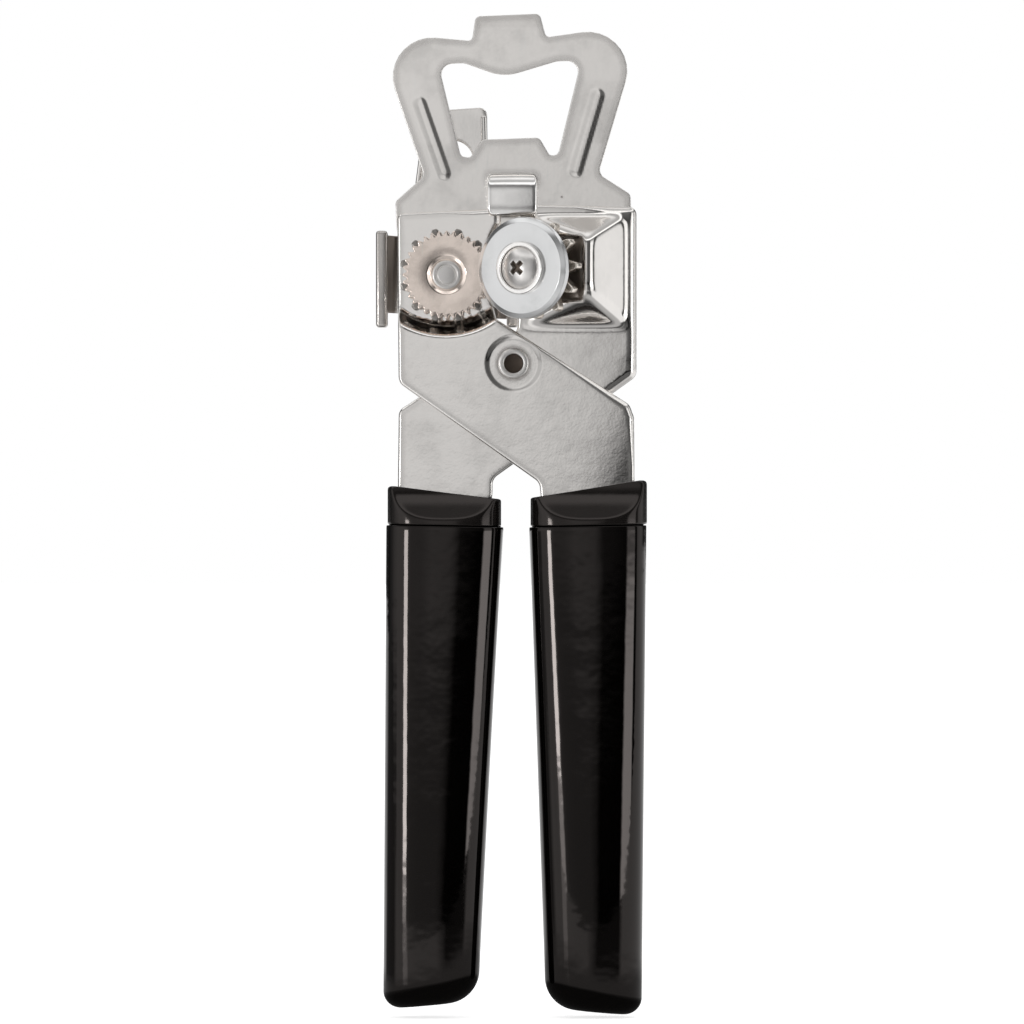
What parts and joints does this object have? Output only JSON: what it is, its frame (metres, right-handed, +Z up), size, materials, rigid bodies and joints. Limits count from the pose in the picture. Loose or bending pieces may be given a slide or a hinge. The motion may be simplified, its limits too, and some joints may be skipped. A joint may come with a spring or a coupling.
{
  "type": "manual can opener",
  "caption": "Hand-held can opener with two hinged lever handles, a geared cutting wheel and feed wheel turned by a folded crank, and a bottle opener on its head.",
  "frame": {"origin": "on the axis of the pivot rivet, midway between the two lever plates", "axes": "+Z up the tool from the grips to the bottle opener, -Y out of the front with the cutting wheel, +X to the right seen from the front"},
  "size_m": [0.0517, 0.0301, 0.1903],
  "materials": {
    "chrome": "bright plated pressed sheet",
    "satin_steel": "satin brushed blade",
    "nickel": "warm nickel plate",
    "tool_steel": "fine ground steel",
    "grip_plastic": "glossy black",
    "collar_plastic": "semi-gloss dark grey"
  },
  "bodies": {
    "front_lever": {"front_plate": "chrome", "bottle_opener": "satin_steel", "opener_strap": "chrome", "pivot_rivet": "nickel", "pivot_washer": "nickel", "shaft_bushing": "tool_steel", "feed_washer": "nickel", "right_collar": "collar_plastic", "right_grip": "grip_plastic"},
    "back_lever": {"back_plate": "chrome", "cutter_sleeve": "tool_steel", "cutter_screw": "nickel", "cutter_wave_washer": "tool_steel", "cutter_nut": "tool_steel", "left_collar": "collar_plastic", "left_grip": "grip_plastic"},
    "crank_set": {"crank": "chrome", "drive_shaft": "tool_steel", "crank_washer": "nickel", "feed_gear": "nickel", "feed_wheel": "nickel"},
    "cutter_set": {"cutting_wheel": "tool_steel", "cutter_gear": "nickel", "cutter_hub": "nickel", "cutter_spacer": "tool_steel"}
  },
  "joints": [
    {"name": "handle_pivot", "type": "hinge", "parent": "front_lever", "child": "back_lever", "pos_m": [0, 0, 0], "axis": [0, 1, 0], "range_deg": [0, 20]},
    {"name": "crank_spin", "type": "hinge", "parent": "front_lever", "child": "crank_set", "pos_m": [-0.0127, 0, 0.0168], "axis": [0, 1, 0], "continuous": true},
    {"name": "cutter_spin", "type": "hinge", "parent": "back_lever", "child": "cutter_set", "pos_m": [0.00175, -0.00845, 0.0179], "axis": [0.5, 0.866, 0], "continuous": true}
  ],
  "couplings": [
    {"joint": "cutter_spin", "follows": "crank_spin", "ratio": -1}
  ]
}
